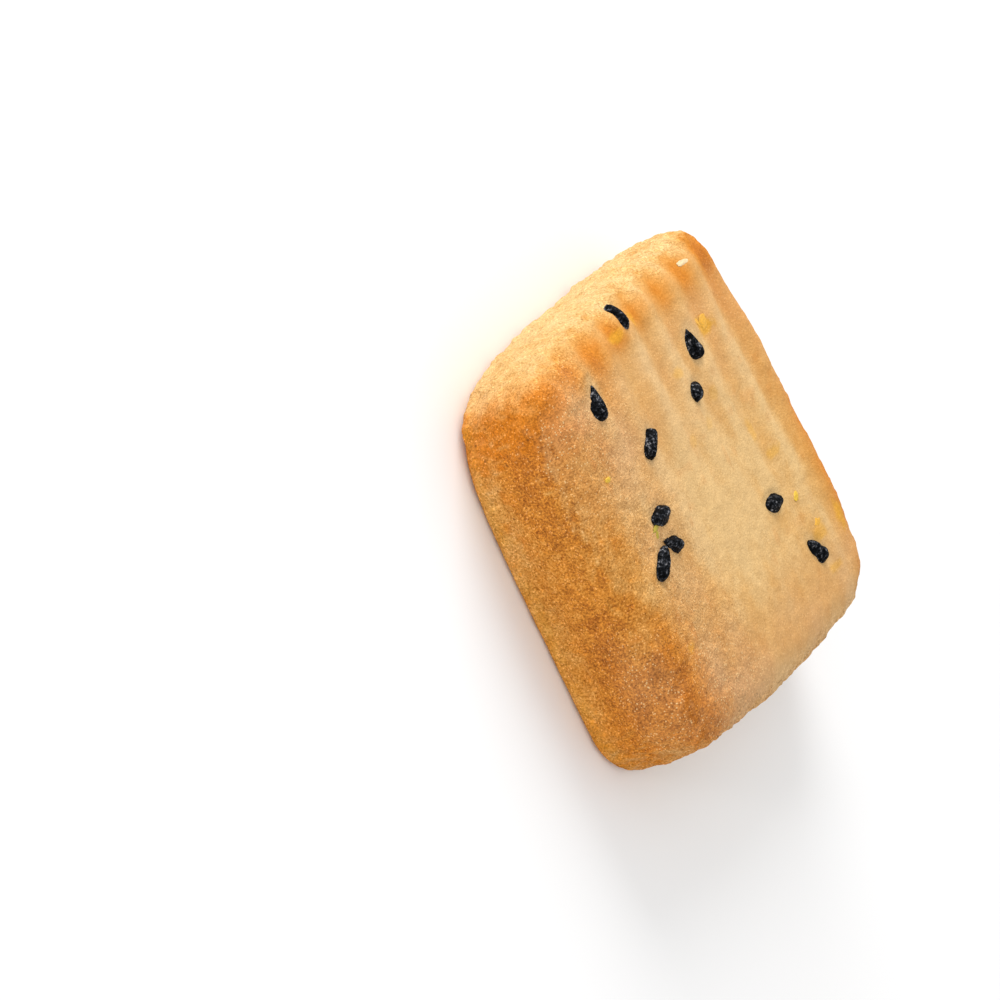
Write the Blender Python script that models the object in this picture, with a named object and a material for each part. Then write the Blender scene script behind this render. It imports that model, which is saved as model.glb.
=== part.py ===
"""Square shortbread biscuit with nigella seeds baked into it.

It lies flat, seeds up, centred on the Z axis with its underside at z = 0.  The body is one closed
grid: a flat-topped square with rounded corners, a softly rounded upper edge, slightly barrelled
walls and a small lower edge.  Shallow relief moves its points, and the seeds are joined to it by
one union.  Metres, +Z up.
"""
import math

import bmesh
import bpy
import numpy as np
from mathutils import Matrix, Vector
from mathutils.bvhtree import BVHTree

MM = 0.001

# Driving dimensions of the body.
WIDTH_X = 38.9 * MM
DEPTH_Y = 36.8 * MM
THICKNESS = 11.1 * MM
CORNER_RADIUS = 5.0 * MM
TOP_EDGE_RADIUS = 3.2 * MM
BOTTOM_EDGE_RADIUS = 1.3 * MM
SIDE_BOW = 0.45 * MM
WALL_BARREL = 0.5 * MM
FACE_FALL = 0.25 * MM

# How far each corner eases inwards, by its signs in x and y, at the top and at the bottom.
CORNER_EASE = {(-1, 1): (0.4 * MM, 2.3 * MM), (1, 1): (-1.3 * MM, 0.6 * MM),
               (1, -1): (0.3 * MM, 0.5 * MM), (-1, -1): (0.5 * MM, 0.0 * MM)}
CORNER_EASE_REACH = 4.5 * MM

# Shallow dents of the rim as (x, y, z, reach, depth); a negative depth is a swell.
RIM_DENTS = ((19.9 * MM, 14.4 * MM, 10.2 * MM, 3.0 * MM, 1.25 * MM),
             (20.0 * MM, -8.5 * MM, 9.0 * MM, 4.0 * MM, -0.40 * MM),
             (-20.3 * MM, -3.0 * MM, 2.0 * MM, 8.0 * MM, 0.35 * MM),
             (-11.5 * MM, -18.9 * MM, 8.0 * MM, 4.5 * MM, 0.5 * MM))

# Relief of the crust.
LUMP_HEIGHT = 0.10 * MM
WALL_LUMP_HEIGHT = 0.14 * MM
GROOVE_DEPTH = 0.42 * MM
GROOVE_PITCH = 4.85 * MM
GROOVE_PHASE = 2.8 * MM
CREST_HEIGHT = 0.85 * MM
CREST_TURN = 0.30
CREST_CENTRE = (-14.45 * MM, 13.4 * MM)
FOOT_LEVEL = 2.6 * MM
FOOT_REACH = 0.85 * MM
FOOT_HOLLOW = 0.10 * MM
FOOT_HOLLOW_LEFT = 0.22 * MM

# Seeds on the face as (x, y, heading from tip to blunt end in degrees, length, width).
FACE_SEEDS = (
    (-11.9 * MM, 13.1 * MM, -109.0, 3.4 * MM, 2.00 * MM),
    (-7.1 * MM, 6.9 * MM, -135.0, 2.8 * MM, 1.50 * MM),
    (-10.6 * MM, 1.5 * MM, -3.0, 3.1 * MM, 1.75 * MM),
    (-10.7 * MM, -1.1 * MM, -30.0, 2.9 * MM, 1.55 * MM),
    (-13.4 * MM, -1.9 * MM, -138.0, 3.4 * MM, 1.50 * MM),
    (6.7 * MM, 11.0 * MM, -90.0, 2.9 * MM, 1.80 * MM),
    (3.8 * MM, 7.6 * MM, -160.0, 2.5 * MM, 1.50 * MM),
    (-2.0 * MM, 17.5 * MM, -104.0, 2.9 * MM, 1.60 * MM),
    (7.3 * MM, -5.1 * MM, -8.0, 2.5 * MM, 1.60 * MM),
    (10.7 * MM, -11.4 * MM, -56.0, 2.9 * MM, 1.65 * MM),
)
# Seeds in the two far walls as (x, y, z, heading along the wall in degrees, length, width).
WALL_SEEDS = (
    (30.0 * MM, 7.2 * MM, 5.0 * MM, 25.0, 2.8 * MM, 1.50 * MM),
    (30.0 * MM, -9.6 * MM, 6.6 * MM, -50.0, 2.6 * MM, 1.45 * MM),
    (-8.4 * MM, -30.0 * MM, 4.8 * MM, -20.0, 2.9 * MM, 1.50 * MM),
    (11.0 * MM, -30.0 * MM, 4.2 * MM, 70.0, 2.7 * MM, 1.45 * MM),
)
SEED_HEIGHT_PER_WIDTH = 0.85
SEED_STAND = 0.55 * MM
WALL_SEED_STAND = 0.35 * MM
SEED_RINGS = ((0.14, 0.50), (0.45, 0.95), (0.82, 0.85))

# Grid counts.
COLUMNS_X = 36
ROWS_Y = 20
EDGE_ANGLES = (0.0, 24.0, 47.0, 69.0, 90.0)
WALL_STEPS = 5

MATERIAL_COLOUR = (0.80, 0.55, 0.27, 1.0)


def clear_scene():
    """Remove every object of the start-up scene."""
    for item in list(bpy.data.objects):
        bpy.data.objects.remove(item, do_unlink=True)


def smooth(edge0, edge1, value):
    """Smooth step from 0 at edge0 to 1 at edge1."""
    t = np.clip((value - edge0) / (edge1 - edge0), 0.0, 1.0)
    return t * t * (3.0 - 2.0 * t)


def ring_offsets():
    """Offsets of the outer grid rings from the inner rectangle, the last one at the corner radius."""
    insets = [TOP_EDGE_RADIUS * (1.0 - math.sin(math.radians(a))) for a in EDGE_ANGLES]
    flat = CORNER_RADIUS - TOP_EDGE_RADIUS
    return [0.5 * flat] + [CORNER_RADIUS - inset for inset in insets]


def axis_stations(half, count, offsets):
    """Stations across one axis as (inner position, ring number, sign)."""
    inner = half - CORNER_RADIUS
    rings = len(offsets)
    stations = [(-inner, ring, -1) for ring in range(rings, 0, -1)]
    stations += [(inner * (2.0 * i / count - 1.0), 0, 0) for i in range(count + 1)]
    stations += [(inner, ring, 1) for ring in range(1, rings + 1)]
    return stations


def plan_point(station_x, station_y, offsets):
    """Plan position and ring offset of one grid point; the corner fans are quarter circles."""
    bx, kx, sx = station_x
    by, ky, sy = station_y
    ring = max(kx, ky)
    radius = offsets[ring - 1] if ring else 0.0
    if ring == 0:
        return bx, by, 0.0
    if kx >= ky:
        angle = 0.25 * math.pi * ky / kx
    else:
        angle = 0.5 * math.pi - 0.25 * math.pi * kx / ky
    return bx + sx * radius * math.cos(angle), by + sy * radius * math.sin(angle), radius


def top_height(radius):
    """Height of the upper side for a ring offset: flat, then a quarter circle down to the wall."""
    inset = CORNER_RADIUS - radius
    if inset >= TOP_EDGE_RADIUS:
        return THICKNESS
    reach = TOP_EDGE_RADIUS - inset
    return THICKNESS - TOP_EDGE_RADIUS + math.sqrt(max(TOP_EDGE_RADIUS ** 2 - reach ** 2, 0.0))


def body_mesh():
    """Points and faces of the smooth body before any relief."""
    offsets = ring_offsets()
    xs = axis_stations(0.5 * WIDTH_X, COLUMNS_X, offsets)
    ys = axis_stations(0.5 * DEPTH_Y, ROWS_Y, offsets)
    nx, ny = len(xs), len(ys)
    points = []
    for sy in ys:
        for sx in xs:
            x, y, radius = plan_point(sx, sy, offsets)
            points.append((x, y, top_height(radius)))
    faces = []
    for j in range(ny - 1):
        for i in range(nx - 1):
            a = j * nx + i
            faces.append((a, a + 1, a + nx + 1, a + nx))
    border = [i for i in range(nx)]
    border += [j * nx + nx - 1 for j in range(1, ny)]
    border += [(ny - 1) * nx + i for i in range(nx - 2, -1, -1)]
    border += [j * nx for j in range(ny - 2, 0, -1)]
    rim = [points[i] for i in border]
    centre_x = 0.5 * WIDTH_X - CORNER_RADIUS
    centre_y = 0.5 * DEPTH_Y - CORNER_RADIUS
    levels = []
    wall_top = THICKNESS - TOP_EDGE_RADIUS
    for step in range(1, WALL_STEPS + 1):
        z = wall_top + (BOTTOM_EDGE_RADIUS - wall_top) * step / WALL_STEPS
        levels.append((0.0, z))
    for angle in (35.0, 65.0, 90.0):
        turn = math.radians(angle)
        levels.append((BOTTOM_EDGE_RADIUS * (1.0 - math.cos(turn)),
                       BOTTOM_EDGE_RADIUS * (1.0 - math.sin(turn))))
    previous = border
    for inset, z in levels:
        ring = []
        for x, y, _ in rim:
            inner_x = min(max(x, -centre_x), centre_x)
            inner_y = min(max(y, -centre_y), centre_y)
            scale = (CORNER_RADIUS - inset) / CORNER_RADIUS
            ring.append(len(points))
            points.append((inner_x + (x - inner_x) * scale, inner_y + (y - inner_y) * scale, z))
        count = len(ring)
        for i in range(count):
            j = (i + 1) % count
            faces.append((previous[i], ring[i], ring[j], previous[j]))
        previous = ring
    faces.append(tuple(reversed(previous)))
    return np.array(points), faces, set(previous)


def bend_plan(p):
    """Bow the sides outwards, barrel the walls, ease the corners and let the face fall to its edges."""
    hx, hy = 0.5 * WIDTH_X, 0.5 * DEPTH_Y
    u = np.clip(p[:, 0] / hx, -1.0, 1.0)
    v = np.clip(p[:, 1] / hy, -1.0, 1.0)
    level = np.clip(p[:, 2] / THICKNESS, 0.0, 1.0)
    belly = WALL_BARREL * (1.0 - (2.0 * level - 1.0) ** 2)
    q = p.copy()
    q[:, 0] += u * (SIDE_BOW * (1.0 - v ** 2) + belly * np.abs(u) ** 3)
    q[:, 1] += v * (SIDE_BOW * (1.0 - u ** 2) + belly * np.abs(v) ** 3)
    for (sx, sy), (top, bottom) in CORNER_EASE.items():
        away = np.hypot(p[:, 0] - sx * hx, p[:, 1] - sy * hy)
        amount = (bottom + (top - bottom) * level) * np.exp(-0.5 * (away / CORNER_EASE_REACH) ** 2)
        q[:, 0] -= sx * amount * math.sqrt(0.5)
        q[:, 1] -= sy * amount * math.sqrt(0.5)
    reach = np.maximum(np.abs(u), np.abs(v))
    q[:, 2] -= FACE_FALL * smooth(0.55, 1.0, reach) * smooth(0.5, 1.0, level)
    return q


def waves(p, wavelength, seed, count=14):
    """Sum of sine waves in seeded directions with lengths around one wavelength, about -1 to 1."""
    rng = np.random.RandomState(seed)
    total = np.zeros(len(p))
    for _ in range(count):
        direction = rng.normal(size=3)
        direction /= np.linalg.norm(direction)
        length = wavelength * rng.uniform(0.75, 1.35)
        total += np.sin(2.0 * math.pi * (p @ direction) / length + rng.uniform(0.0, 2.0 * math.pi))
    return total / math.sqrt(2.0 * count)


def corner_crest(p):
    """Crest of the cut corner at the far left: a bell curve of the turn away from the diagonal."""
    dx = CREST_CENTRE[0] - p[:, 0]
    dy = p[:, 1] - CREST_CENTRE[1]
    turn = np.arctan2(dy, dx) - 0.25 * math.pi
    outside = smooth(1.5 * MM, 4.0 * MM, np.hypot(dx, dy))
    return outside * np.exp(-0.5 * (turn / CREST_TURN) ** 2)


def relief(p, normals):
    """Height of the crust along the normal: lumps everywhere, parallel grooves on the face, a crisp
    far left corner and a shallow hollow above the foot of the walls."""
    facing_up = smooth(0.6, 0.95, normals[:, 2])
    lump = LUMP_HEIGHT + (WALL_LUMP_HEIGHT - LUMP_HEIGHT) * (1.0 - facing_up)
    height = lump * (0.7 * waves(p, 7.5 * MM, 3) + 0.5 * waves(p, 4.0 * MM, 8))
    sway = 0.35 * MM * np.sin(p[:, 1] / (5.0 * MM))
    groove = 0.5 - 0.5 * np.cos(2.0 * math.pi * (p[:, 0] + sway - GROOVE_PHASE) / GROOVE_PITCH)
    upper = smooth(-14.0 * MM, 15.0 * MM, p[:, 1])
    across = 0.50 + 0.50 * smooth(-16.0 * MM, 0.0, p[:, 0])
    height -= GROOVE_DEPTH * groove * upper * across * facing_up
    for x, y, z, reach, depth in RIM_DENTS:
        away = np.linalg.norm(p - np.array([x, y, z]), axis=1)
        height -= depth * np.exp(-0.5 * (away / reach) ** 2)
    height += CREST_HEIGHT * corner_crest(p) * (1.0 - facing_up)
    leftward = smooth(0.3, 0.9, -normals[:, 0])
    foot = np.exp(-0.5 * ((p[:, 2] - FOOT_LEVEL) / FOOT_REACH) ** 2)
    height -= (FOOT_HOLLOW + FOOT_HOLLOW_LEFT * leftward) * foot * (1.0 - facing_up)
    return height * smooth(0.0, 1.0 * MM, p[:, 2])


def make_body():
    """Build the body object and move its points by the relief."""
    points, faces, flat = body_mesh()
    points = bend_plan(points)
    mesh = bpy.data.meshes.new("biscuit")
    mesh.from_pydata([tuple(p) for p in points], [], faces)
    work = bmesh.new()
    work.from_mesh(mesh)
    bmesh.ops.recalc_face_normals(work, faces=work.faces)
    work.normal_update()
    work.verts.ensure_lookup_table()
    normals = np.array([tuple(v.normal) for v in work.verts])
    height = relief(points, normals)
    for i, vertex in enumerate(work.verts):
        if i not in flat:
            vertex.co = Vector(points[i] + normals[i] * height[i])
    work.to_mesh(mesh)
    work.free()
    body = bpy.data.objects.new("biscuit", mesh)
    bpy.context.scene.collection.objects.link(body)
    return body


def seed_mesh(name, length, width):
    """Closed teardrop of five-sided rings: X runs from the pointed end to the blunt end."""
    height = SEED_HEIGHT_PER_WIDTH * width
    points = [(-0.5 * length, 0.0, 0.0)]
    for station, size in SEED_RINGS:
        for k in range(5):
            turn = math.radians(90.0 + 72.0 * k)
            points.append(((station - 0.5) * length, 0.5 * width * size * math.cos(turn),
                           0.5 * height * size * math.sin(turn)))
    points.append((0.5 * length, 0.0, 0.0))
    faces = []
    for k in range(5):
        j = (k + 1) % 5
        faces.append((0, 1 + j, 1 + k))
        for ring in range(2):
            a = 1 + 5 * ring
            faces.append((a + k, a + j, a + 5 + j, a + 5 + k))
        faces.append((16, 11 + k, 11 + j))
    mesh = bpy.data.meshes.new(name)
    mesh.from_pydata(points, [], faces)
    work = bmesh.new()
    work.from_mesh(mesh)
    bmesh.ops.recalc_face_normals(work, faces=work.faces)
    bmesh.ops.triangulate(work, faces=work.faces)
    work.to_mesh(mesh)
    work.free()
    return mesh


def place_seed(group, tree, start, towards, heading, length, width, stand):
    """Sink one seed into the surface first met from start, turned by heading about the normal."""
    location, normal, _, _ = tree.ray_cast(start, towards)
    reference = Vector((0.0, 0.0, 1.0)) if abs(normal.z) < 0.7 else Vector((1.0, 0.0, 0.0))
    along = (reference - normal * reference.dot(normal)).normalized()
    along = Matrix.Rotation(math.radians(heading), 3, normal) @ along
    side = normal.cross(along)
    height = SEED_HEIGHT_PER_WIDTH * width
    centre = location + normal * (stand - 0.5 * height)
    mesh = seed_mesh("seed", length, width)
    turn = Matrix((along, side, normal)).transposed().to_4x4()
    mesh.transform(Matrix.Translation(centre) @ turn)
    item = bpy.data.objects.new("seed", mesh)
    group.objects.link(item)


def join_seeds(body):
    """Union every seed with the body, apply the union and remove the loose seeds."""
    tree = BVHTree.FromObject(body, bpy.context.evaluated_depsgraph_get())
    group = bpy.data.collections.new("seeds")
    bpy.context.scene.collection.children.link(group)
    for x, y, heading, length, width in FACE_SEEDS:
        place_seed(group, tree, Vector((x, y, 30.0 * MM)), Vector((0.0, 0.0, -1.0)),
                   heading, length, width, SEED_STAND)
    for x, y, z, heading, length, width in WALL_SEEDS:
        towards = Vector((-1.0, 0.0, 0.0)) if abs(x) > abs(y) else Vector((0.0, 1.0, 0.0))
        place_seed(group, tree, Vector((x, y, z)), towards, heading, length, width,
                   WALL_SEED_STAND)
    union = body.modifiers.new("join seeds", "BOOLEAN")
    union.operation = "UNION"
    union.operand_type = "COLLECTION"
    union.collection = group
    union.solver = "EXACT"
    evaluated = body.evaluated_get(bpy.context.evaluated_depsgraph_get())
    joined = bpy.data.meshes.new_from_object(evaluated)
    body.modifiers.clear()
    body.data = joined
    for item in list(group.objects):
        bpy.data.objects.remove(item, do_unlink=True)
    bpy.data.collections.remove(group)
    body.data.name = "biscuit"


def finish(body):
    """Centre the outline on the Z axis, face everything outwards and give the body its material."""
    work = bmesh.new()
    work.from_mesh(body.data)
    bmesh.ops.remove_doubles(work, verts=work.verts, dist=1e-7)
    for axis in (0, 1):
        values = [vertex.co[axis] for vertex in work.verts]
        middle = 0.5 * (min(values) + max(values))
        for vertex in work.verts:
            vertex.co[axis] -= middle
    bmesh.ops.recalc_face_normals(work, faces=work.faces)
    work.to_mesh(body.data)
    work.free()
    body.data.materials.clear()
    material = bpy.data.materials.new("baked_crust")
    material.use_nodes = True
    shader = material.node_tree.nodes["Principled BSDF"]
    shader.inputs["Base Color"].default_value = MATERIAL_COLOUR
    shader.inputs["Roughness"].default_value = 0.85
    body.data.materials.append(material)


clear_scene()
biscuit = make_body()
join_seeds(biscuit)
finish(biscuit)
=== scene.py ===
"""Looks of the nigella seed biscuit: a baked dough square, its seeds, its zest and a pale table."""
import math

import bpy
import numpy as np
from mathutils import Matrix, Vector
from mathutils.bvhtree import BVHTree


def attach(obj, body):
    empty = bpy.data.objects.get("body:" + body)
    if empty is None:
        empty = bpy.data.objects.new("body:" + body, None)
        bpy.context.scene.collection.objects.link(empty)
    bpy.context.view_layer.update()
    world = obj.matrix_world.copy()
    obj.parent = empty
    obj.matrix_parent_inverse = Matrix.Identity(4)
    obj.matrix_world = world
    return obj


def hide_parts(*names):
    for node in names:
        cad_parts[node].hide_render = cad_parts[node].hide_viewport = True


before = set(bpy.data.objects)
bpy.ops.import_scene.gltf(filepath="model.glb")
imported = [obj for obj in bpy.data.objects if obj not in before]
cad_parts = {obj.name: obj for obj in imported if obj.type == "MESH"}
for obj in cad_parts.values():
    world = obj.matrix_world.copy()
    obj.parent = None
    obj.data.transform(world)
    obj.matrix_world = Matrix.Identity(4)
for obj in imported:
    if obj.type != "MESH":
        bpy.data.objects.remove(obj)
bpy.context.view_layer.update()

# Dough square.
# Shortbread dough, rolled thick, cut square and baked: a flat face with soft edges, walls that
# swell a little, rolling marks across the face and a sandy crumb.
MM = 0.001
WIDTH_X = 38.9 * MM
DEPTH_Y = 36.8 * MM
THICKNESS = 11.1 * MM
CORNER_RADIUS = 5.0 * MM
TOP_EDGE_RADIUS = 3.2 * MM
BOTTOM_EDGE_RADIUS = 1.3 * MM
SURFACE_STEP = 0.25 * MM
ROUND_RINGS = 28
TOP_ARC_RINGS = 20
BOTTOM_ARC_RINGS = 9
OUTLINE_SHIFT = np.array([-0.364 * MM, 0.008 * MM, 0.0])
SIDE_BOW = 0.45 * MM
WALL_BARREL = 0.5 * MM
FACE_FALL = 0.25 * MM
# Shares of the way out and of the thickness over which the face falls.
FALL_REACH = (0.55, 1.0)
FALL_LEVEL = (0.5, 1.0)
# How far each corner is eased inwards, at its top and at its foot.
CORNER_EASE = {(-1, 1): (0.4 * MM, 2.3 * MM), (1, 1): (-1.3 * MM, 0.6 * MM),
               (1, -1): (0.3 * MM, 0.5 * MM), (-1, -1): (0.5 * MM, 0.0 * MM)}
CORNER_EASE_REACH = 4.5 * MM
# Dents of the rim: place x, y and z, reach and depth, where a negative depth is a swelling.
RIM_DENTS = ((19.9 * MM, 14.4 * MM, 10.2 * MM, 3.0 * MM, 1.25 * MM),
             (20.0 * MM, -8.5 * MM, 9.0 * MM, 4.0 * MM, -0.40 * MM),
             (-20.3 * MM, -3.0 * MM, 2.0 * MM, 8.0 * MM, 0.35 * MM),
             (-11.5 * MM, -18.9 * MM, 8.0 * MM, 4.5 * MM, 0.5 * MM))
# Parts of the normal, upwards, to the left and to the far side, over which one side becomes another.
FACE_TURN = (0.6, 0.95)
LEFT_TURN = (0.3, 0.9)
FAR_TURN = (0.3, 0.9)
LUMP_HEIGHT = 0.10 * MM
WALL_LUMP_HEIGHT = 0.14 * MM
GROOVE_DEPTH = 0.42 * MM
GROOVE_PITCH = 4.85 * MM
GROOVE_PHASE = 2.8 * MM
GROOVE_SWAY = 0.35 * MM
GROOVE_SWAY_LENGTH = 5.0 * MM
GROOVE_FADE_Y = (-14.0 * MM, 15.0 * MM)
GROOVE_FADE_X = (-16.0 * MM, 0.0)
GROOVE_LEFT_SHARE = 0.50
CREST_HEIGHT = 0.85 * MM
CREST_TURN = 0.30
CREST_CENTRE = (-14.45 * MM, 13.4 * MM)
CREST_START = (1.5 * MM, 4.0 * MM)
FOOT_LEVEL = 2.6 * MM
FOOT_REACH = 0.85 * MM
FOOT_HOLLOW = 0.10 * MM
FOOT_HOLLOW_LEFT = 0.22 * MM
WALL_GRAIN = 1.6
FAR_WALL_GRAIN = 1.2
LEFT_FACE_GRAIN = 1.2
ROLLED_GRAIN = 0.40
ROLLED_RANGE = (-17.0 * MM, -3.0 * MM)
ROLLED_SLANT = 0.1
CRUMB_SINK = 0.03
RAGGED_DEPTH = 0.06 * MM
RAGGED_LEVEL = 1.0 * MM
RAGGED_REACH = 0.8 * MM
RAGGED_SINK = 0.5
UNDERSIDE_FADE = (0.0, 1.0 * MM)
# Sets of waves or noise: strength, size and seed of each layer.
LUMP_WAVES = ((0.7, 7.5 * MM, 3), (0.5, 4.0 * MM, 8))
CRUMB_LAYERS = ((0.085, 1.9 * MM, 21), (0.080, 0.85 * MM, 22), (0.105, 0.48 * MM, 23))
RAGGED_LAYERS = ((1.0, 1.1 * MM, 24),)
WAVE_COUNT = 14
WAVE_SPREAD = (0.75, 1.35)
LATTICE_CELLS = 64
LATTICE_SHIFT = 100.0


def smooth(edge0, edge1, value):
    """Smooth step: 0 below edge0, 1 above edge1, and 3t^2 - 2t^3 between them."""
    t = np.clip((value - edge0) / (edge1 - edge0), 0.0, 1.0)
    return t * t * (3.0 - 2.0 * t)


def bell(distance, reach):
    """Bell curve: e to the power of minus half the square of distance over reach."""
    return np.exp(-0.5 * (distance / reach) ** 2)


def waves(p, wavelength, seed):
    """Sum of n sine waves in seeded directions, each with a length near wavelength, over root 2n."""
    rng = np.random.RandomState(seed)
    total = np.zeros(len(p))
    for _ in range(WAVE_COUNT):
        direction = rng.normal(size=3)
        direction /= np.linalg.norm(direction)
        length = wavelength * rng.uniform(*WAVE_SPREAD)
        total += np.sin(2.0 * math.pi * (p @ direction) / length + rng.uniform(0.0, 2.0 * math.pi))
    return total / math.sqrt(2.0 * WAVE_COUNT)


def crumb_noise(p, size, seed):
    """Random heights on a cubic lattice of the given size, blended smoothly between lattice points."""
    table = np.random.RandomState(seed).uniform(-1.0, 1.0, (LATTICE_CELLS,) * 3)
    q = p / size + LATTICE_SHIFT
    cell = np.floor(q).astype(int)
    t = q - cell
    t = t * t * (3.0 - 2.0 * t)
    total = np.zeros(len(p))
    for corner in np.ndindex(2, 2, 2):
        weight = np.prod(np.where(np.array(corner) == 1, t, 1.0 - t), axis=1)
        i, j, k = ((cell + np.array(corner)) % LATTICE_CELLS).T
        total += weight * table[i, j, k]
    return total


def layered(noise, p, layers):
    """Sum of layers of waves or crumb noise, each times its strength."""
    return sum(strength * noise(p, size, seed) for strength, size, seed in layers)


def ring_offsets(edge_radius, arc_rings):
    """Ring offsets from the inner rectangle: even steps on the flat, even angles round the edge."""
    flat = np.linspace(0.0, CORNER_RADIUS - edge_radius, ROUND_RINGS - arc_rings + 1)
    angles = np.linspace(0.0, 0.5 * math.pi, arc_rings + 1)[1:]
    return np.concatenate([flat, CORNER_RADIUS - edge_radius * (1.0 - np.sin(angles))])


def axis_stations(half):
    """Across one axis: the inner position, ring number and sign of each grid line."""
    inner = half - CORNER_RADIUS
    count = int(round(2.0 * inner / SURFACE_STEP))
    place = np.concatenate([np.full(ROUND_RINGS, -inner), np.linspace(-inner, inner, count + 1),
                            np.full(ROUND_RINGS, inner)])
    ring = np.concatenate([np.arange(ROUND_RINGS, 0, -1), np.zeros(count + 1, int),
                           np.arange(1, ROUND_RINGS + 1)])
    sign = np.concatenate([np.full(ROUND_RINGS, -1.0), np.zeros(count + 1), np.full(ROUND_RINGS, 1.0)])
    return place, ring, sign


def plan_grid(offsets):
    """Grid over a rounded square: each point is its inner place plus its ring offset turned by the
    share of its two ring numbers, so the corners are quarter discs."""
    px, kx, sx = axis_stations(0.5 * WIDTH_X)
    py, ky, sy = axis_stations(0.5 * DEPTH_Y)
    kx, ky = np.meshgrid(kx, ky)
    sx, sy = np.meshgrid(sx, sy)
    px, py = np.meshgrid(px, py)
    ring = np.maximum(kx, ky)
    share = np.minimum(kx, ky) / np.maximum(ring, 1)
    angle = np.where(kx >= ky, 0.25 * math.pi * share, 0.5 * math.pi - 0.25 * math.pi * share)
    radius = offsets[ring]
    return px + sx * radius * np.cos(angle), py + sy * radius * np.sin(angle), radius


def edge_drop(radius, edge_radius):
    """Drop of a quarter-circle edge at a ring offset: zero on the flat, edge_radius at the wall."""
    reach = np.clip(edge_radius - (CORNER_RADIUS - radius), 0.0, edge_radius)
    return edge_radius - np.sqrt(edge_radius ** 2 - reach ** 2)


def grid_border(rows, columns):
    """Indices once round the outside of a rows by columns grid."""
    index = np.arange(rows * columns).reshape(rows, columns)
    return np.concatenate([index[0, :-1], index[:-1, -1], index[-1, :0:-1], index[:0:-1, 0]])


def grid_quads(index, closed=False):
    """Quads between neighbouring entries of a 2-D index array, round its second axis if closed."""
    right = np.roll(index, -1, axis=1) if closed else index[:, 1:]
    left = index if closed else index[:, :-1]
    return np.stack([left[:-1], right[:-1], right[1:], left[1:]], axis=-1).reshape(-1, 4)


def dough_surface():
    """Closed square: an upper grid, a lower grid and even wall rings between their borders."""
    x, y, radius = plan_grid(ring_offsets(TOP_EDGE_RADIUS, TOP_ARC_RINGS))
    rows, columns = x.shape
    upper = np.stack([x, y, THICKNESS - edge_drop(radius, TOP_EDGE_RADIUS)], -1).reshape(-1, 3)
    x, y, radius = plan_grid(ring_offsets(BOTTOM_EDGE_RADIUS, BOTTOM_ARC_RINGS))
    lower = np.stack([x, y, edge_drop(radius, BOTTOM_EDGE_RADIUS)], -1).reshape(-1, 3)
    border = grid_border(rows, columns)
    wall_height = THICKNESS - TOP_EDGE_RADIUS - BOTTOM_EDGE_RADIUS
    steps = int(round(wall_height / SURFACE_STEP))
    share = np.linspace(0.0, 1.0, steps + 1)[1:-1, None, None]
    wall = upper[border] * (1.0 - share) + lower[border] * share
    count = rows * columns
    around = len(border)
    wall_index = np.arange(wall.shape[0] * around).reshape(-1, around) + 2 * count
    rings = np.vstack([border, wall_index, border + count])
    top_index = np.arange(count).reshape(rows, columns)
    quads = np.vstack([grid_quads(top_index), grid_quads(top_index + count)[:, ::-1],
                       grid_quads(rings, closed=True)[:, ::-1]])
    points = np.vstack([upper, lower, wall.reshape(-1, 3)])
    return points, quads


def bend_plan(p):
    """Bow the sides by 1 - v^2, barrel the walls by 1 - (2h - 1)^2, ease each corner by a bell
    curve of the distance to it, and let the face fall towards its edges."""
    hx, hy = 0.5 * WIDTH_X, 0.5 * DEPTH_Y
    u = np.clip(p[:, 0] / hx, -1.0, 1.0)
    v = np.clip(p[:, 1] / hy, -1.0, 1.0)
    level = np.clip(p[:, 2] / THICKNESS, 0.0, 1.0)
    belly = WALL_BARREL * (1.0 - (2.0 * level - 1.0) ** 2)
    q = p.copy()
    q[:, 0] += u * (SIDE_BOW * (1.0 - v ** 2) + belly * np.abs(u) ** 3)
    q[:, 1] += v * (SIDE_BOW * (1.0 - u ** 2) + belly * np.abs(v) ** 3)
    for (sx, sy), (top, bottom) in CORNER_EASE.items():
        away = np.hypot(p[:, 0] - sx * hx, p[:, 1] - sy * hy)
        amount = (bottom + (top - bottom) * level) * bell(away, CORNER_EASE_REACH)
        q[:, 0] -= sx * amount * math.sqrt(0.5)
        q[:, 1] -= sy * amount * math.sqrt(0.5)
    reach = np.maximum(np.abs(u), np.abs(v))
    q[:, 2] -= FACE_FALL * smooth(*FALL_REACH, reach) * smooth(*FALL_LEVEL, level)
    return q


def groove_depth(p, facing_up):
    """Rolling marks: a raised cosine across X, deepest at the far right of the face."""
    sway = GROOVE_SWAY * np.sin(p[:, 1] / GROOVE_SWAY_LENGTH)
    groove = 0.5 - 0.5 * np.cos(2.0 * math.pi * (p[:, 0] + sway - GROOVE_PHASE) / GROOVE_PITCH)
    across = GROOVE_LEFT_SHARE + (1.0 - GROOVE_LEFT_SHARE) * smooth(*GROOVE_FADE_X, p[:, 0])
    return groove * smooth(*GROOVE_FADE_Y, p[:, 1]) * across * facing_up


def graininess_of(p, normals):
    """Coarseness of the crumb: most on the cut walls, less on the far one and at the left of the
    face, and least where the face was rolled hardest."""
    facing_up = smooth(*FACE_TURN, normals[:, 2])
    rolled = smooth(*ROLLED_RANGE, p[:, 0] + ROLLED_SLANT * p[:, 1])
    wall = WALL_GRAIN - (WALL_GRAIN - FAR_WALL_GRAIN) * smooth(*FAR_TURN, normals[:, 1])
    face = LEFT_FACE_GRAIN - (LEFT_FACE_GRAIN - ROLLED_GRAIN) * rolled
    return wall + facing_up * (face - wall)


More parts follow.
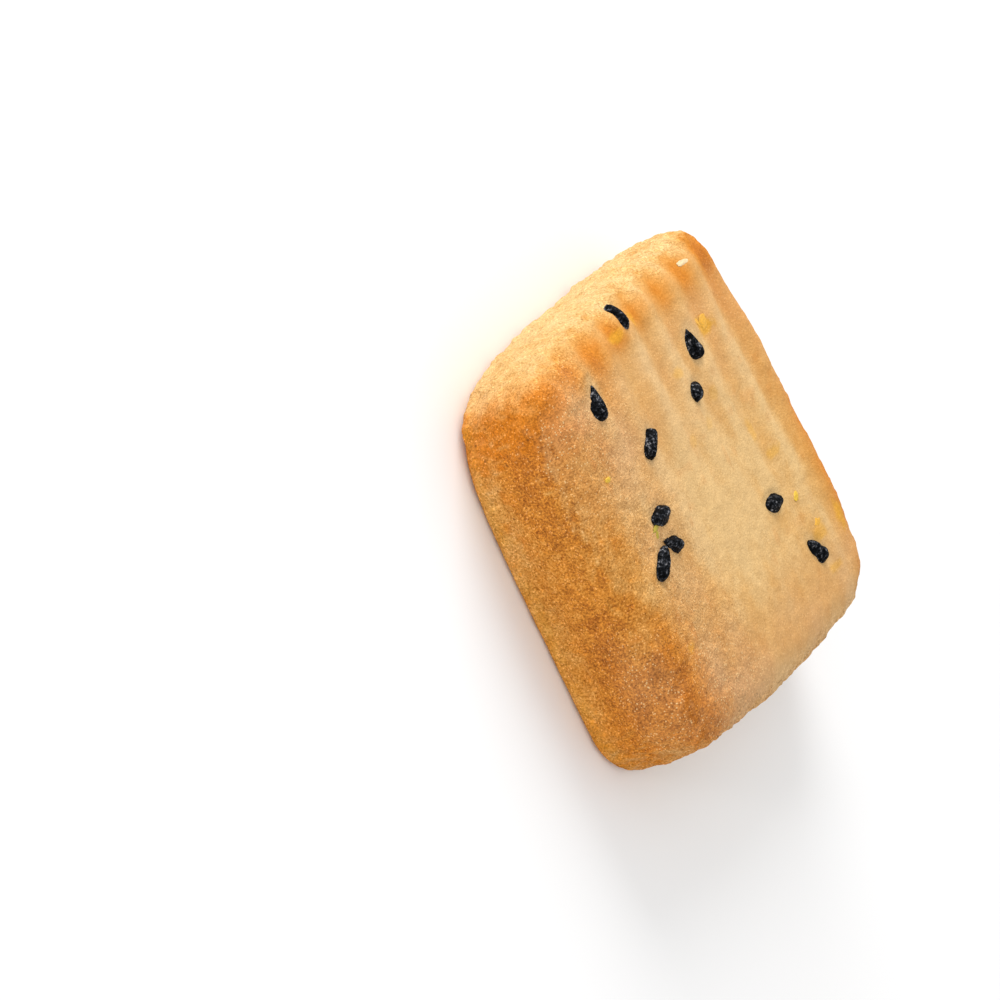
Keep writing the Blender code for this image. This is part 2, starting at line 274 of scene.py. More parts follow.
def corner_crest(p):
    """Crest of the cut corner at the far left: a bell curve of the turn away from the diagonal."""
    dx = CREST_CENTRE[0] - p[:, 0]
    dy = p[:, 1] - CREST_CENTRE[1]
    turn = np.arctan2(dy, dx) - 0.25 * math.pi
    return smooth(*CREST_START, np.hypot(dx, dy)) * bell(turn, CREST_TURN)


def crust_relief(p, normals):
    """Height of the baked crust: broad lumps, rolling marks, rim dents, a crisp far left corner, a
    hollow above the foot of each wall, a sandy crumb and a ragged foot."""
    facing_up = smooth(*FACE_TURN, normals[:, 2])
    lump = LUMP_HEIGHT + (WALL_LUMP_HEIGHT - LUMP_HEIGHT) * (1.0 - facing_up)
    height = lump * layered(waves, p, LUMP_WAVES)
    height -= GROOVE_DEPTH * groove_depth(p, facing_up)
    for x, y, z, reach, depth in RIM_DENTS:
        height -= depth * bell(np.linalg.norm(p - np.array([x, y, z]), axis=1), reach)
    height += CREST_HEIGHT * corner_crest(p) * (1.0 - facing_up)
    hollow = FOOT_HOLLOW + FOOT_HOLLOW_LEFT * smooth(*LEFT_TURN, -normals[:, 0])
    height -= hollow * bell(p[:, 2] - FOOT_LEVEL, FOOT_REACH) * (1.0 - facing_up)
    crumb = layered(crumb_noise, p, CRUMB_LAYERS)
    height += MM * graininess_of(p, normals) * (crumb - CRUMB_SINK)
    ragged = layered(crumb_noise, p, RAGGED_LAYERS) - RAGGED_SINK
    height += RAGGED_DEPTH * bell(p[:, 2] - RAGGED_LEVEL, RAGGED_REACH) * ragged
    return height * smooth(*UNDERSIDE_FADE, p[:, 2])


def mesh_object(name, points, faces):
    """Mesh object from its points and a list of faces, shaded smooth."""
    mesh = bpy.data.meshes.new(name)
    mesh.from_pydata(points, [], faces)
    mesh.shade_smooth()
    item = bpy.data.objects.new(name, mesh)
    bpy.context.scene.collection.objects.link(item)
    return item


def point_normals(mesh):
    """Normal at each point of a mesh, as an array."""
    values = np.zeros(3 * len(mesh.vertices))
    mesh.vertex_normals.foreach_get("vector", values)
    return values.reshape(-1, 3)


plain_points, dough_quads = dough_surface()
plain_points = bend_plan(plain_points)
dough = mesh_object("dough_square", plain_points, dough_quads.tolist())
dough_normals = point_normals(dough.data)
dough_points = plain_points + dough_normals * crust_relief(plain_points, dough_normals)[:, None]
dough_points = dough_points + OUTLINE_SHIFT
dough_tree = BVHTree.FromPolygons(dough_points.tolist(), dough_quads.tolist())

# Where the seeds lie.
# The seeds were mixed through the dough, so they show wherever a side cut or the rolling pin
# met one: half sunk in the face and the walls, and level with the underside.
OUTSIDE = 30.0 * MM
# In the face: place x and y, heading in degrees, length, width and form.
FACE_SEEDS = (
    (-11.9 * MM, 13.1 * MM, -109.0, 3.4 * MM, 2.00 * MM, "pointed"),
    (-7.1 * MM, 6.9 * MM, -135.0, 2.8 * MM, 1.50 * MM, "rod"),
    (-10.6 * MM, 1.5 * MM, -3.0, 3.1 * MM, 1.75 * MM, "plump"),
    (-10.7 * MM, -1.1 * MM, -30.0, 2.9 * MM, 1.60 * MM, "wedge"),
    (-13.4 * MM, -1.9 * MM, -138.0, 3.4 * MM, 1.50 * MM, "slim"),
    (6.7 * MM, 11.0 * MM, -90.0, 2.9 * MM, 1.80 * MM, "pointed"),
    (3.8 * MM, 7.6 * MM, -160.0, 2.5 * MM, 1.50 * MM, "pointed"),
    (-2.0 * MM, 17.5 * MM, -104.0, 2.9 * MM, 1.60 * MM, "slim"),
    (7.3 * MM, -5.1 * MM, -8.0, 2.5 * MM, 1.60 * MM, "plump"),
    (10.7 * MM, -11.4 * MM, -56.0, 2.9 * MM, 1.65 * MM, "waisted"),
)
# In the right and near walls: a place outside the wall, x, y and z, and the way inwards, then
# heading, length, width and form.
WALL_SEEDS = (
    ((OUTSIDE, 7.2 * MM, 5.0 * MM), (-1.0, 0.0, 0.0), 25.0, 2.8 * MM, 1.50 * MM, "pointed"),
    ((OUTSIDE, -9.6 * MM, 6.6 * MM), (-1.0, 0.0, 0.0), -50.0, 2.6 * MM, 1.45 * MM, "plump"),
    ((-8.4 * MM, -OUTSIDE, 4.8 * MM), (0.0, 1.0, 0.0), -20.0, 2.9 * MM, 1.50 * MM, "rod"),
    ((11.0 * MM, -OUTSIDE, 4.2 * MM), (0.0, 1.0, 0.0), 70.0, 2.7 * MM, 1.45 * MM, "pointed"),
)
UNDER_SEED_COUNT = 6
UNDER_SEED_PLACES = (-14.0 * MM, 14.0 * MM)
UNDER_SEED_LENGTHS = (2.5 * MM, 3.2 * MM)
UNDER_SEED_WIDTHS = (1.35 * MM, 1.6 * MM)
SEED_STAND = 0.55 * MM
WALL_SEED_STAND = 0.35 * MM
UNDER_SEED_STAND = -0.03 * MM
UNDER_SEED_DRAW = 41
UPRIGHT_NORMAL = 0.7


def surface_seat(start, towards, heading, length, width, stand, form="plump"):
    """Where a small piece lies: the surface point met from start, and axes along its heading, to
    its side and along the surface's normal."""
    location, normal, _, _ = dough_tree.ray_cast(Vector(start), Vector(towards))
    reference = Vector((0.0, 0.0, 1.0)) if abs(normal.z) < UPRIGHT_NORMAL else Vector((1.0, 0.0, 0.0))
    along = (reference - normal * reference.dot(normal)).normalized()
    along = Matrix.Rotation(math.radians(heading), 3, normal) @ along
    axes = np.array([along, normal.cross(along), normal])
    return {"place": np.array(location), "axes": axes, "length": length, "width": width,
            "stand": stand, "form": form}


seats = []
for x, y, *shape, form in FACE_SEEDS:
    above = (x + OUTLINE_SHIFT[0], y + OUTLINE_SHIFT[1], OUTSIDE)
    seats.append(surface_seat(above, (0.0, 0.0, -1.0), *shape, SEED_STAND, form))
for start, towards, *shape, form in WALL_SEEDS:
    seats.append(surface_seat(start, towards, *shape, WALL_SEED_STAND, form))
scatter = np.random.RandomState(UNDER_SEED_DRAW)
for _ in range(UNDER_SEED_COUNT):
    x, y = scatter.uniform(*UNDER_SEED_PLACES, 2)
    heading = scatter.uniform(0.0, 360.0)
    length = scatter.uniform(*UNDER_SEED_LENGTHS)
    width = scatter.uniform(*UNDER_SEED_WIDTHS)
    seats.append(surface_seat((x, y, -OUTSIDE), (0.0, 0.0, 1.0), heading, length, width,
                              UNDER_SEED_STAND))

# Dimples, browning and painted light of the dough.
# The crust shrinks away a little round each seed, and the oven browns what stands out: the
# walls and edges most, the middle of the face least. The near left corner is darker than the
# rest, partly browned and partly painted shade, and the foot of the walls is paler with painted light.
DIMPLE_DEPTH = 0.16 * MM
DIMPLE_RANGE = (0.95, 1.75)
SEED_NEIGHBOURHOOD = 1.2 * MM
FAR_FROM_SEEDS = 9.0
# Painted light: a paler ring in the crust round each seed, on the rim of its dimple.
HALO_PLACE = 1.1
HALO_REACH = 0.28
RIM_SEED = 7
FLAP_OFFSET = np.array([-0.86 * MM, -0.56 * MM, 0.05 * MM])
FLAP_HEIGHT = 0.27 * MM
FLAP_REACH = 0.58 * MM
FLAP_STRETCH = 0.92
# The bands towards the near half, the near edge and the near left corner, and the left wall's rise towards
# its near end, are partly browning and partly painted shade.
# Bands: strength, and the two places or parts of the normal between which it rises or fades.
LEFT_TAN = (0.27, 6.0 * MM, 18.0 * MM)
RIGHT_HALF_TAN = (0.10, 18.0 * MM, 31.0 * MM)
LEFT_EDGE_TAN = (0.25, 1.5 * MM, 7.5 * MM)
LOW_LEFT_EDGE_TAN_AND_PAINTED_SHADE = (0.13, 1.5 * MM, 7.5 * MM)
NEAR_HALF_TAN_AND_PAINTED_SHADE = (0.07, 8.0 * MM, -2.0 * MM)
RIGHT_EDGE_TAN = (0.40, 2.2 * MM, 7.0 * MM)
NEAR_EDGE_TAN_AND_PAINTED_SHADE = (0.40, 1.0 * MM, 16.0 * MM)
NEAR_TAN_LOSS = (0.55, 2.0 * MM, 18.0 * MM)
NEAR_EDGE_PALING = (0.34, 0.3 * MM, 3.6 * MM)
FAR_TAN = (0.22, 2.0 * MM, 13.0 * MM)
LOW_LEFT_WALL_TAN_AND_PAINTED_SHADE = (0.24, 12.0 * MM, -14.0 * MM)
NEAR_WALL_PALING = (0.22, 0.2, 0.8)
FAR_WALL_RIGHT_PALING = (0.10, -13.0 * MM, -4.0 * MM)
# Ranges of a place or of a part of the normal.
LOW_RANGE = (8.0 * MM, -14.0 * MM)
NEAR_EDGE_START = (3.0 * MM, 10.0 * MM)
RIM_BAND = (0.6 * MM, 2.0 * MM, 2.8 * MM, 4.8 * MM)
SHOULDER_RANGE = (2.5 * MM, 6.5 * MM)
FACE_BLEND = (0.10, 0.90)
UNDERSIDE_BLEND = (0.5, 0.9)
LEFT_WALL_BLEND = (0.4, 0.95)
FAR_WALL_BLEND = (0.22, 0.62)
FACE_TAN = 0.02
RIM_TAN = 0.12
MARK_TAN = 0.35
RIM_MARK_TAN = 0.24
MARK_MEAN = 0.40
MARK_LAYERS = ((0.35, 4.5 * MM, 49),)
STREAK_STRETCH = np.array([1.0, 0.35, 1.0])
STREAK_LAYERS = ((0.11, 1.15 * MM, 48),)
BLOTCH_LAYERS = ((0.07, 3.4 * MM, 47),)
# Patches of the face: place x and y, reach and strength. The first, at the near left corner, is
# partly browning and partly painted shade.
TAN_AND_PAINTED_SHADE_PATCHES = ((-19.3 * MM, -18.0 * MM, 10.0 * MM, 0.13), (2.0 * MM, 1.0 * MM, 5.0 * MM, -0.06),
               (-7.0 * MM, 15.7 * MM, 2.0 * MM, 0.22), (-14.6 * MM, 14.4 * MM, 2.0 * MM, -0.10),
               (-10.0 * MM, 8.5 * MM, 4.2 * MM, 0.13))
WALL_TAN = 0.66
LEFT_WALL_TAN = 0.02
FAR_WALL_PALING = 0.46
UNDERSIDE_TAN = 0.55
# Patches of the left wall's shoulder: place y, reach and strength.
SHOULDER_PATCHES = ((8.0 * MM, 5.0 * MM, 0.12), (12.5 * MM, 2.2 * MM, 0.22))
# Painted light: the walls are made paler at the foot, the left one most, where the table shades them.
PALE_FOOT_LEVEL = 0.8 * MM
PALE_FOOT_REACH = 1.5 * MM
FOOT_PAINTED_LIGHT = 0.12
LEFT_FOOT_PAINTED_LIGHT = 0.30
CRUST_WAVES = ((0.03, 5.0 * MM, 31),)
LEAST_WAVES = 0.5
CRUST_LAYERS = ((0.05, 2.1 * MM, 32), (0.06, 0.8 * MM, 33))
TAN_SCALE = 0.8
DEEPEST_TAN = 0.78


def seed_distance(p, seat):
    """Distance from a seed in its own ellipse: 1 on the seed's outline, in the surface's plane."""
    local = (p - seat["place"]) @ seat["axes"].T
    flat = np.hypot(local[:, 0] / (0.5 * seat["length"]), local[:, 1] / (0.5 * seat["width"]))
    return np.where(np.abs(local[:, 2]) < SEED_NEIGHBOURHOOD, flat, FAR_FROM_SEEDS)


flap_across = dough_points - seats[RIM_SEED]["place"] - FLAP_OFFSET
flap_along = flap_across @ seats[RIM_SEED]["axes"][0]
flap_away = np.sqrt(np.maximum(np.sum(flap_across ** 2, axis=1) - FLAP_STRETCH * flap_along ** 2, 0.0))
flap = bell(flap_away, FLAP_REACH)
nearest_seed = np.full(len(dough_points), FAR_FROM_SEEDS)
for seat in seats:
    away = seed_distance(dough_points, seat)
    nearest_seed = np.minimum(nearest_seed, away)
    sink = DIMPLE_DEPTH * (1.0 - smooth(*DIMPLE_RANGE, away)) * (1.0 - flap)
    dough_points = dough_points - seat["axes"][2] * sink[:, None]
dough_points = dough_points + seats[RIM_SEED]["axes"][2] * (FLAP_HEIGHT * flap)[:, None]


def face_edge_distance(p):
    """Distance inwards from the four sides of the face, as left, right, near and far arrays."""
    hx, hy = 0.5 * WIDTH_X + SIDE_BOW, 0.5 * DEPTH_Y + SIDE_BOW
    return p[:, 0] + hx, hx - p[:, 0], p[:, 1] + hy, hy - p[:, 1]


def rising(place, band):
    """Strength times the smooth step between the band's two places."""
    strength, start, end = band
    return strength * smooth(start, end, place)


def fading(place, band):
    """Strength times 1 minus the smooth step between the band's two places."""
    strength, start, end = band
    return strength * (1.0 - smooth(start, end, place))


def between(place, start, full, ebb, end):
    """A smooth step up from start to full, times a smooth step down from ebb to end."""
    return smooth(start, full, place) * (1.0 - smooth(ebb, end, place))


def patched(p, patches):
    """Sum of bell curves of the distance to each patch in plan, each times its strength."""
    return sum(strength * bell(np.hypot(p[:, 0] - x, p[:, 1] - y), reach)
               for x, y, reach, strength in patches)


def face_tan_and_painted_shade(p, facing_up):
    """Browning of the face: bands along its sides, rolling marks, streaks, blotches and patches; towards
    the near left corner it is partly painted shade.
    """
    left, right, near, far = face_edge_distance(p)
    face = FACE_TAN + fading(left, LEFT_TAN) + rising(left, RIGHT_HALF_TAN)
    face += fading(left, LEFT_EDGE_TAN) + smooth(*LOW_RANGE, p[:, 1]) * fading(left, LOW_LEFT_EDGE_TAN_AND_PAINTED_SHADE)
    face += rising(p[:, 1], NEAR_HALF_TAN_AND_PAINTED_SHADE) + fading(right, RIGHT_EDGE_TAN)
    face += (1.0 - rising(p[:, 0], NEAR_TAN_LOSS)) * fading(near, NEAR_EDGE_TAN_AND_PAINTED_SHADE)
    face -= fading(near, NEAR_EDGE_PALING) * smooth(*NEAR_EDGE_START, left)
    rim = between(far, *RIM_BAND)
    face += RIM_TAN * rim + fading(far, FAR_TAN)
    marks = groove_depth(p, facing_up) * (1.0 + layered(crumb_noise, p, MARK_LAYERS)) - MARK_MEAN
    face += MARK_TAN * marks + RIM_MARK_TAN * rim * marks
    face += layered(crumb_noise, p * STREAK_STRETCH, STREAK_LAYERS) + layered(crumb_noise, p, BLOTCH_LAYERS)
    return face + patched(p, TAN_AND_PAINTED_SHADE_PATCHES)


def wall_tan_and_painted_light(p, normals):
    """Browning of the walls: the left one deepest at its near end, where it is partly painted
    shade, and along its shoulder, the far one palest, and all of them paler at the foot, where
    the paling is painted light."""
    leftward = smooth(*LEFT_WALL_BLEND, -normals[:, 0])
    wall = WALL_TAN + leftward * (LEFT_WALL_TAN + rising(p[:, 1], LOW_LEFT_WALL_TAN_AND_PAINTED_SHADE))
    shoulder = leftward * smooth(*SHOULDER_RANGE, p[:, 2])
    for y, reach, strength in SHOULDER_PATCHES:
        wall += strength * shoulder * bell(p[:, 1] - y, reach)
    farward = smooth(*FAR_WALL_BLEND, normals[:, 1])
    wall -= rising(-normals[:, 1], NEAR_WALL_PALING)
    wall -= farward * (FAR_WALL_PALING + rising(p[:, 0], FAR_WALL_RIGHT_PALING))
    foot = bell(p[:, 2] - PALE_FOOT_LEVEL, PALE_FOOT_REACH)
    return wall - (FOOT_PAINTED_LIGHT + LEFT_FOOT_PAINTED_LIGHT * leftward) * foot


def tan_and_painted_light_of(p, normals):
    """Share of browning with some painted shade and painted light in it, 0 pale to 1 deep: face,
    walls and underside blended by the normal, and mottled more where the crumb is coarse."""
    facing_up = smooth(*FACE_BLEND, normals[:, 2])
    facing_down = smooth(*UNDERSIDE_BLEND, -normals[:, 2])
    share = facing_up * face_tan_and_painted_shade(p, facing_up) + facing_down * UNDERSIDE_TAN
    share += (1.0 - facing_up - facing_down) * wall_tan_and_painted_light(p, normals)
    grain = graininess_of(p, normals)
    share += layered(waves, p, CRUST_WAVES) * (LEAST_WAVES + grain)
    share += grain * layered(crumb_noise, p, CRUST_LAYERS)
    return np.clip(TAN_SCALE * share, 0.0, DEEPEST_TAN)


# Clear orange, where sugar ran and caught.
# It lies on the cut corner at the far left, at the foot of the left wall, along the rim of the
# face and in small spots.
CARAMEL_PATCHES = ((-18.9 * MM, 15.0 * MM, 2.0 * MM, 1.00), (-19.3 * MM, -18.0 * MM, 5.0 * MM, 0.35))
CARAMEL_FOOT = 0.34
CARAMEL_FOOT_LEVEL = 1.0 * MM
CARAMEL_FOOT_REACH = 0.9 * MM
RIGHT_CARAMEL = (0.80, 0.8 * MM, 4.5 * MM)
RIGHT_CARAMEL_GAIN = (0.65, -15.0 * MM, -6.0 * MM)
RIM_CARAMEL = 0.36
RIM_CARAMEL_BAND = (0.4 * MM, 1.8 * MM, 2.4 * MM, 5.0 * MM)
RIM_CARAMEL_GAIN = (0.65, -15.0 * MM, -10.0 * MM)
RIM_CARAMEL_LOSS = (0.50, -12.0 * MM, 4.0 * MM)
CARAMEL_LAYERS = ((0.45, 1.3 * MM, 38), (0.35, 0.6 * MM, 39))
SPOT_SHARE = 0.45
SPOT_FADE = (0.65, 2.0 * MM, 15.0 * MM)
SPOT_LAYERS = ((1.0, 1.0 * MM, 40),)
SPOT_CLUSTERS = ((1.0, 4.0 * MM, 44),)
SPOT_RANGE = (0.30, 0.75)
SPOT_CLUSTER_RANGE = (-0.2, 0.5)
MOST_CARAMEL = 0.85
LEAST_SHARE = 0.35
LEFT_WALL_FACING = (0.3, 0.8)
RIGHT_CARAMEL_FACING = (0.2, 0.6)
RIM_CARAMEL_FACING = (0.30, 0.90)


def caramel_of(p, normals):
    """Share of clear orange: patches, the left foot, the right and far rims, and scattered spots."""
    left, right, near, far = face_edge_distance(p)
    leftward = smooth(*LEFT_WALL_FACING, -normals[:, 0])
    foot = bell(p[:, 2] - CARAMEL_FOOT_LEVEL, CARAMEL_FOOT_REACH)
    share = patched(p, CARAMEL_PATCHES) + CARAMEL_FOOT * leftward * foot
    upper = LEAST_SHARE + rising(p[:, 1], RIGHT_CARAMEL_GAIN)
    share += upper * fading(right, RIGHT_CARAMEL) * smooth(*RIGHT_CARAMEL_FACING, normals[:, 2])
    rim = between(far, *RIM_CARAMEL_BAND) * smooth(*RIM_CARAMEL_FACING, normals[:, 2])
    gain = LEAST_SHARE + rising(p[:, 0], RIM_CARAMEL_GAIN)
    share += RIM_CARAMEL * rim * gain * (1.0 - rising(p[:, 0], RIM_CARAMEL_LOSS))
    share *= 1.0 + layered(crumb_noise, p, CARAMEL_LAYERS)
    spots = smooth(*SPOT_RANGE, layered(crumb_noise, p, SPOT_LAYERS))
    spots *= smooth(*SPOT_CLUSTER_RANGE, layered(crumb_noise, p, SPOT_CLUSTERS))
    return np.clip(share + SPOT_SHARE * spots * (LEAST_SHARE + fading(left, SPOT_FADE)), 0.0, MOST_CARAMEL)


# Pale pinkish beige, partly paler crust and partly a painted sheen.
# It lies on the left of the face, along its far and near sides, and on the upper edge of the
# left wall near its near end.
LEFT_BLUSH = 0.34
LEFT_BLUSH_BAND = (1.5 * MM, 7.0 * MM, 8.0 * MM, 17.0 * MM)
LEFT_BLUSH_FADE = (5.0 * MM, 11.0 * MM)
FAR_BLUSH = 0.32
FAR_BLUSH_BAND = (2.5 * MM, 6.0 * MM, 6.0 * MM, 20.0 * MM)
BLUSH_PATCHES = ((-14.6 * MM, 14.4 * MM, 2.2 * MM, 0.32),)
NEAR_BLUSH = (0.50, 2.0 * MM, 11.0 * MM)
NEAR_BLUSH_START = (1.0 * MM, 8.0 * MM)
SHOULDER_BLUSH = (0.22, -3.0 * MM, -11.0 * MM)
SHOULDER_BLUSH_RANGE = (4.0 * MM, 7.5 * MM)
BLUSH_FACING = (0.05, 0.80)
BLUSH_MEAN = 0.85
BLUSH_LAYERS = ((0.40, 2.6 * MM, 46),)
MOST_BLUSH = 0.7


def beige_and_sheen_of(p, normals):
    """Share of beige, partly paler crust and partly painted sheen: bands and a patch on the face, the left
    wall's shoulder, mottled.
    """
    left, right, near, far = face_edge_distance(p)
    share = LEFT_BLUSH * between(left, *LEFT_BLUSH_BAND) * smooth(*LEFT_BLUSH_FADE, far)
    share += FAR_BLUSH * between(far, *FAR_BLUSH_BAND) + patched(p, BLUSH_PATCHES)
    share += fading(near, NEAR_BLUSH) * smooth(*NEAR_BLUSH_START, left)
    share *= smooth(*BLUSH_FACING, normals[:, 2])
    shoulder = smooth(*LEFT_WALL_FACING, -normals[:, 0]) * smooth(*SHOULDER_BLUSH_RANGE, p[:, 2])
    share += shoulder * rising(p[:, 1], SHOULDER_BLUSH)
    return np.clip(share * (BLUSH_MEAN + layered(crumb_noise, p, BLUSH_LAYERS)), 0.0, MOST_BLUSH)


# Yellow stains of the zest, and painted light at the foot of the left wall.
# Shreds of peel under the crust and juice from them stain it: each is an ellipse, given by its
# place x and y, reach along x and y, and strength.
ZEST_STAINS = (
    (9.6 * MM, 11.5 * MM, 1.5 * MM, 1.0 * MM, 0.75), (11.7 * MM, -10.2 * MM, 1.3 * MM, 0.8 * MM, 0.50),
    (16.6 * MM, -10.4 * MM, 1.0 * MM, 1.3 * MM, 0.65), (12.0 * MM, -13.8 * MM, 1.2 * MM, 0.5 * MM, 0.45),
    (10.6 * MM, -1.6 * MM, 1.2 * MM, 0.5 * MM, 0.45), (9.0 * MM, 1.3 * MM, 0.6 * MM, 1.3 * MM, 0.35),
    (-4.4 * MM, 16.3 * MM, 1.2 * MM, 0.6 * MM, 0.60), (-0.5 * MM, 16.6 * MM, 0.5 * MM, 0.7 * MM, 0.50),
    (1.7 * MM, 10.1 * MM, 0.8 * MM, 0.6 * MM, 0.40), (5.7 * MM, 6.3 * MM, 0.8 * MM, 0.8 * MM, 0.30),
    (-0.7 * MM, 4.4 * MM, 0.7 * MM, 0.7 * MM, 0.25), (2.7 * MM, 4.6 * MM, 0.9 * MM, 0.7 * MM, 0.25),
    (-16.0 * MM, 7.2 * MM, 0.6 * MM, 0.4 * MM, 0.45), (-15.2 * MM, -9.4 * MM, 0.7 * MM, 0.5 * MM, 0.35),
)
STAIN_EDGE = (0.55, 1.15)
STAIN_EDGE_LAYERS = ((0.35, 0.7 * MM, 35), (0.20, 0.35 * MM, 36))
STAINED_ABOVE = 7.0 * MM
# Painted light: a yellow strip along the foot of the left wall, where the table shades it.
FOOT_YELLOW_PAINTED_LIGHT = 0.26
FOOT_YELLOW_LEVEL = 0.8 * MM
FOOT_YELLOW_REACH = 0.8 * MM
FOOT_YELLOW_MEAN = 0.8
FOOT_YELLOW_LAYERS = ((0.6, 1.2 * MM, 37),)


def zest_stain_and_foot_light_of(p, normals):
    """Share of yellow: the strongest of soft ellipses on the face, each edge broken by crumb noise,
    and a yellow foot along the left wall, which is painted light."""
    share = np.zeros(len(p))
    ragged = 1.0 + layered(crumb_noise, p, STAIN_EDGE_LAYERS)
    for x, y, reach_x, reach_y, strength in ZEST_STAINS:
        away = np.hypot((p[:, 0] - x) / reach_x, (p[:, 1] - y) / reach_y) * ragged
        share = np.maximum(share, strength * (1.0 - smooth(*STAIN_EDGE, away)))
    share *= p[:, 2] > STAINED_ABOVE
    foot = smooth(*LEFT_WALL_FACING, -normals[:, 0])
    foot *= bell(p[:, 2] - FOOT_YELLOW_LEVEL, FOOT_YELLOW_REACH)
    mottle = FOOT_YELLOW_MEAN + layered(crumb_noise, p, FOOT_YELLOW_LAYERS)
    return np.maximum(share, FOOT_YELLOW_PAINTED_LIGHT * foot * mottle)


dough.data.vertices.foreach_set("co", dough_points.ravel())
dough.data.update()
dough_normals = point_normals(dough.data)
crust_shares = {
    "tan_and_painted_light": tan_and_painted_light_of(dough_points, dough_normals),
    # Painted light: the paler ring round each seed.
    "seed_rim_painted_light": bell(nearest_seed - HALO_PLACE, HALO_REACH),
    "graininess": graininess_of(dough_points, dough_normals),
    "caramel": caramel_of(dough_points, dough_normals),
    "beige_and_sheen": beige_and_sheen_of(dough_points, dough_normals),
    "zest_stain_and_foot_light": zest_stain_and_foot_light_of(dough_points, dough_normals),
}
for name, values in crust_shares.items():
    dough.data.attributes.new(name, "FLOAT", "POINT").data.foreach_set("value", values)

# Baked crust.
# The crumb of baked dough: fine grain, patches, crevices between crumbs darkened with painted
# shade, glints where a crystal catches the light, pale crumbs and dark pits, coarse on the walls and fine
# on the face.
NODE_SPACING = 220
# Detail and roughness of each noise.
GRAIN_NOISE = (2.5, 0.6)
PATCH_NOISE = (4.0, 0.6)
CREVICE_NOISE = (3.0, 0.6)
PATCHES_PER_METRE = 800.0
CREVICES_PER_METRE = 2100.0
CRYSTALS_PER_METRE = 4600.0
PITS_PER_METRE = 1500.0
CREVICE_RANGE = (0.55, 0.74)
CRUMB_EDGE = (0.42, 0.16)
CRUMB_PICK = 0.22
GLINT_REACH = 0.34
GLINT_PICK = 0.72
PIT_REACH = 0.17
PIT_PICK = 0.94
CRYSTAL_HEIGHT = -0.35
PATCH_HEIGHT = 1.2
CREVICE_HEIGHT = -0.2
GRAIN_SIZE = 0.20 * MM
COARSE_PATCHES = 0.6
LEAST_PATCHES = 0.4
GRAIN_TAN = -0.40
PATCH_TAN = 0.28
# Painted shade in the crevices between crumbs.
CREVICE_PAINTED_SHADE = 0.10
SEED_RIM_PAINTED_LIGHT = -0.10
GRAIN_LIGHT = 1.10
PATCH_LIGHT = -0.35
CRUMB_LIGHT = 0.18
GLINT_LIGHT = 0.32
GLINT_COVER = 0.14
BLUSH_GLINT_COVER = 2.20
PIT_COVER = 0.45
CRUST_ROUGHNESS = 0.72
GLINT_ROUGHNESS = -0.12
CRUST_SPECULAR = 0.08
CRUST_BUMP = 0.8
CRUST_BUMP_DEPTH = 0.18 * MM
CRUST_COLOURS = ((0.00, (0.700, 0.460, 0.203)), (0.20, (0.650, 0.365, 0.122)),
                 (0.40, (0.625, 0.295, 0.070)), (0.60, (0.600, 0.228, 0.031)),
                 (0.80, (0.465, 0.152, 0.021)), (1.00, (0.290, 0.080, 0.010)))
CARAMEL_COLOUR = (0.610, 0.185, 0.012, 1.0)
# Pale pinkish beige: partly paler crust and partly painted sheen.
BEIGE_AND_SHEEN_COLOUR = (0.650, 0.385, 0.195, 1.0)
GLINT_COLOUR = (0.80, 0.52, 0.24, 1.0)
PIT_COLOUR = (0.20, 0.07, 0.015, 1.0)
STAIN_AND_FOOT_LIGHT_COLOUR = (0.72, 0.36, 0.028, 1.0)


def feed_inputs(tree, node, inputs):
    """Feed a node's inputs: a socket is linked, and any other value is set on the input itself."""
    for name, value in inputs.items():
        if isinstance(value, bpy.types.NodeSocket):
            tree.links.new(value, node.inputs[name])
        else:
            node.inputs[name].default_value = value


def add_node(tree, kind, inputs, **settings):
    """One shader node, placed after those in the tree, with its properties set and its inputs fed."""
    node = tree.nodes.new(kind)
    node.location = (NODE_SPACING * len(tree.nodes), 0)
    for key, value in settings.items():
        setattr(node, key, value)
    feed_inputs(tree, node, inputs)
    return node


def math_node(tree, operation, *values):
    """Result of a Math node on two or three values, each a socket or a number."""
    return add_node(tree, "ShaderNodeMath", dict(enumerate(values)), operation=operation).outputs[0]


def weighted_sum(tree, start, terms):
    """Start plus each term's socket times its weight."""
    total = start
    for socket, weight in terms:
        total = math_node(tree, "MULTIPLY_ADD", socket, weight, total)
    return total


def noise_node(tree, where, scale, detail, roughness):
    """Noise from 0 to 1 at a scale in cells per metre."""
    inputs = {"Vector": where, "Scale": scale, "Detail": detail, "Roughness": roughness}
    return add_node(tree, "ShaderNodeTexNoise", inputs).outputs["Fac"]


def cell_nodes(tree, where, scale):
    """Scattered cells: the distance to the nearest cell's centre, and a pick from 0 to 1 by cell."""
    cells = add_node(tree, "ShaderNodeTexVoronoi", {"Vector": where, "Scale": scale}, feature="F1")
    picks = add_node(tree, "ShaderNodeSeparateColor", {"Color": cells.outputs["Color"]})
    return cells.outputs["Distance"], picks.outputs["Red"]


def soft_step_node(tree, value, start, end):
    """Smooth step of a value from 0 at start to 1 at end."""
    inputs = {"Value": value, "From Min": start, "From Max": end}
    node = add_node(tree, "ShaderNodeMapRange", inputs, interpolation_type="SMOOTHSTEP")
    return node.outputs["Result"]


def ramp_node(tree, share, colours):
    """Colour picked by a share from a row of stops, each with its position and colour."""
    ramp = add_node(tree, "ShaderNodeValToRGB", {"Fac": share})
    stops = ramp.color_ramp.elements
    while len(stops) < len(colours):
        stops.new(0.5)
    for stop, (position, colour) in zip(stops, colours):
        stop.position = position
        stop.color = (*colour, 1.0)
    return ramp.outputs["Color"]


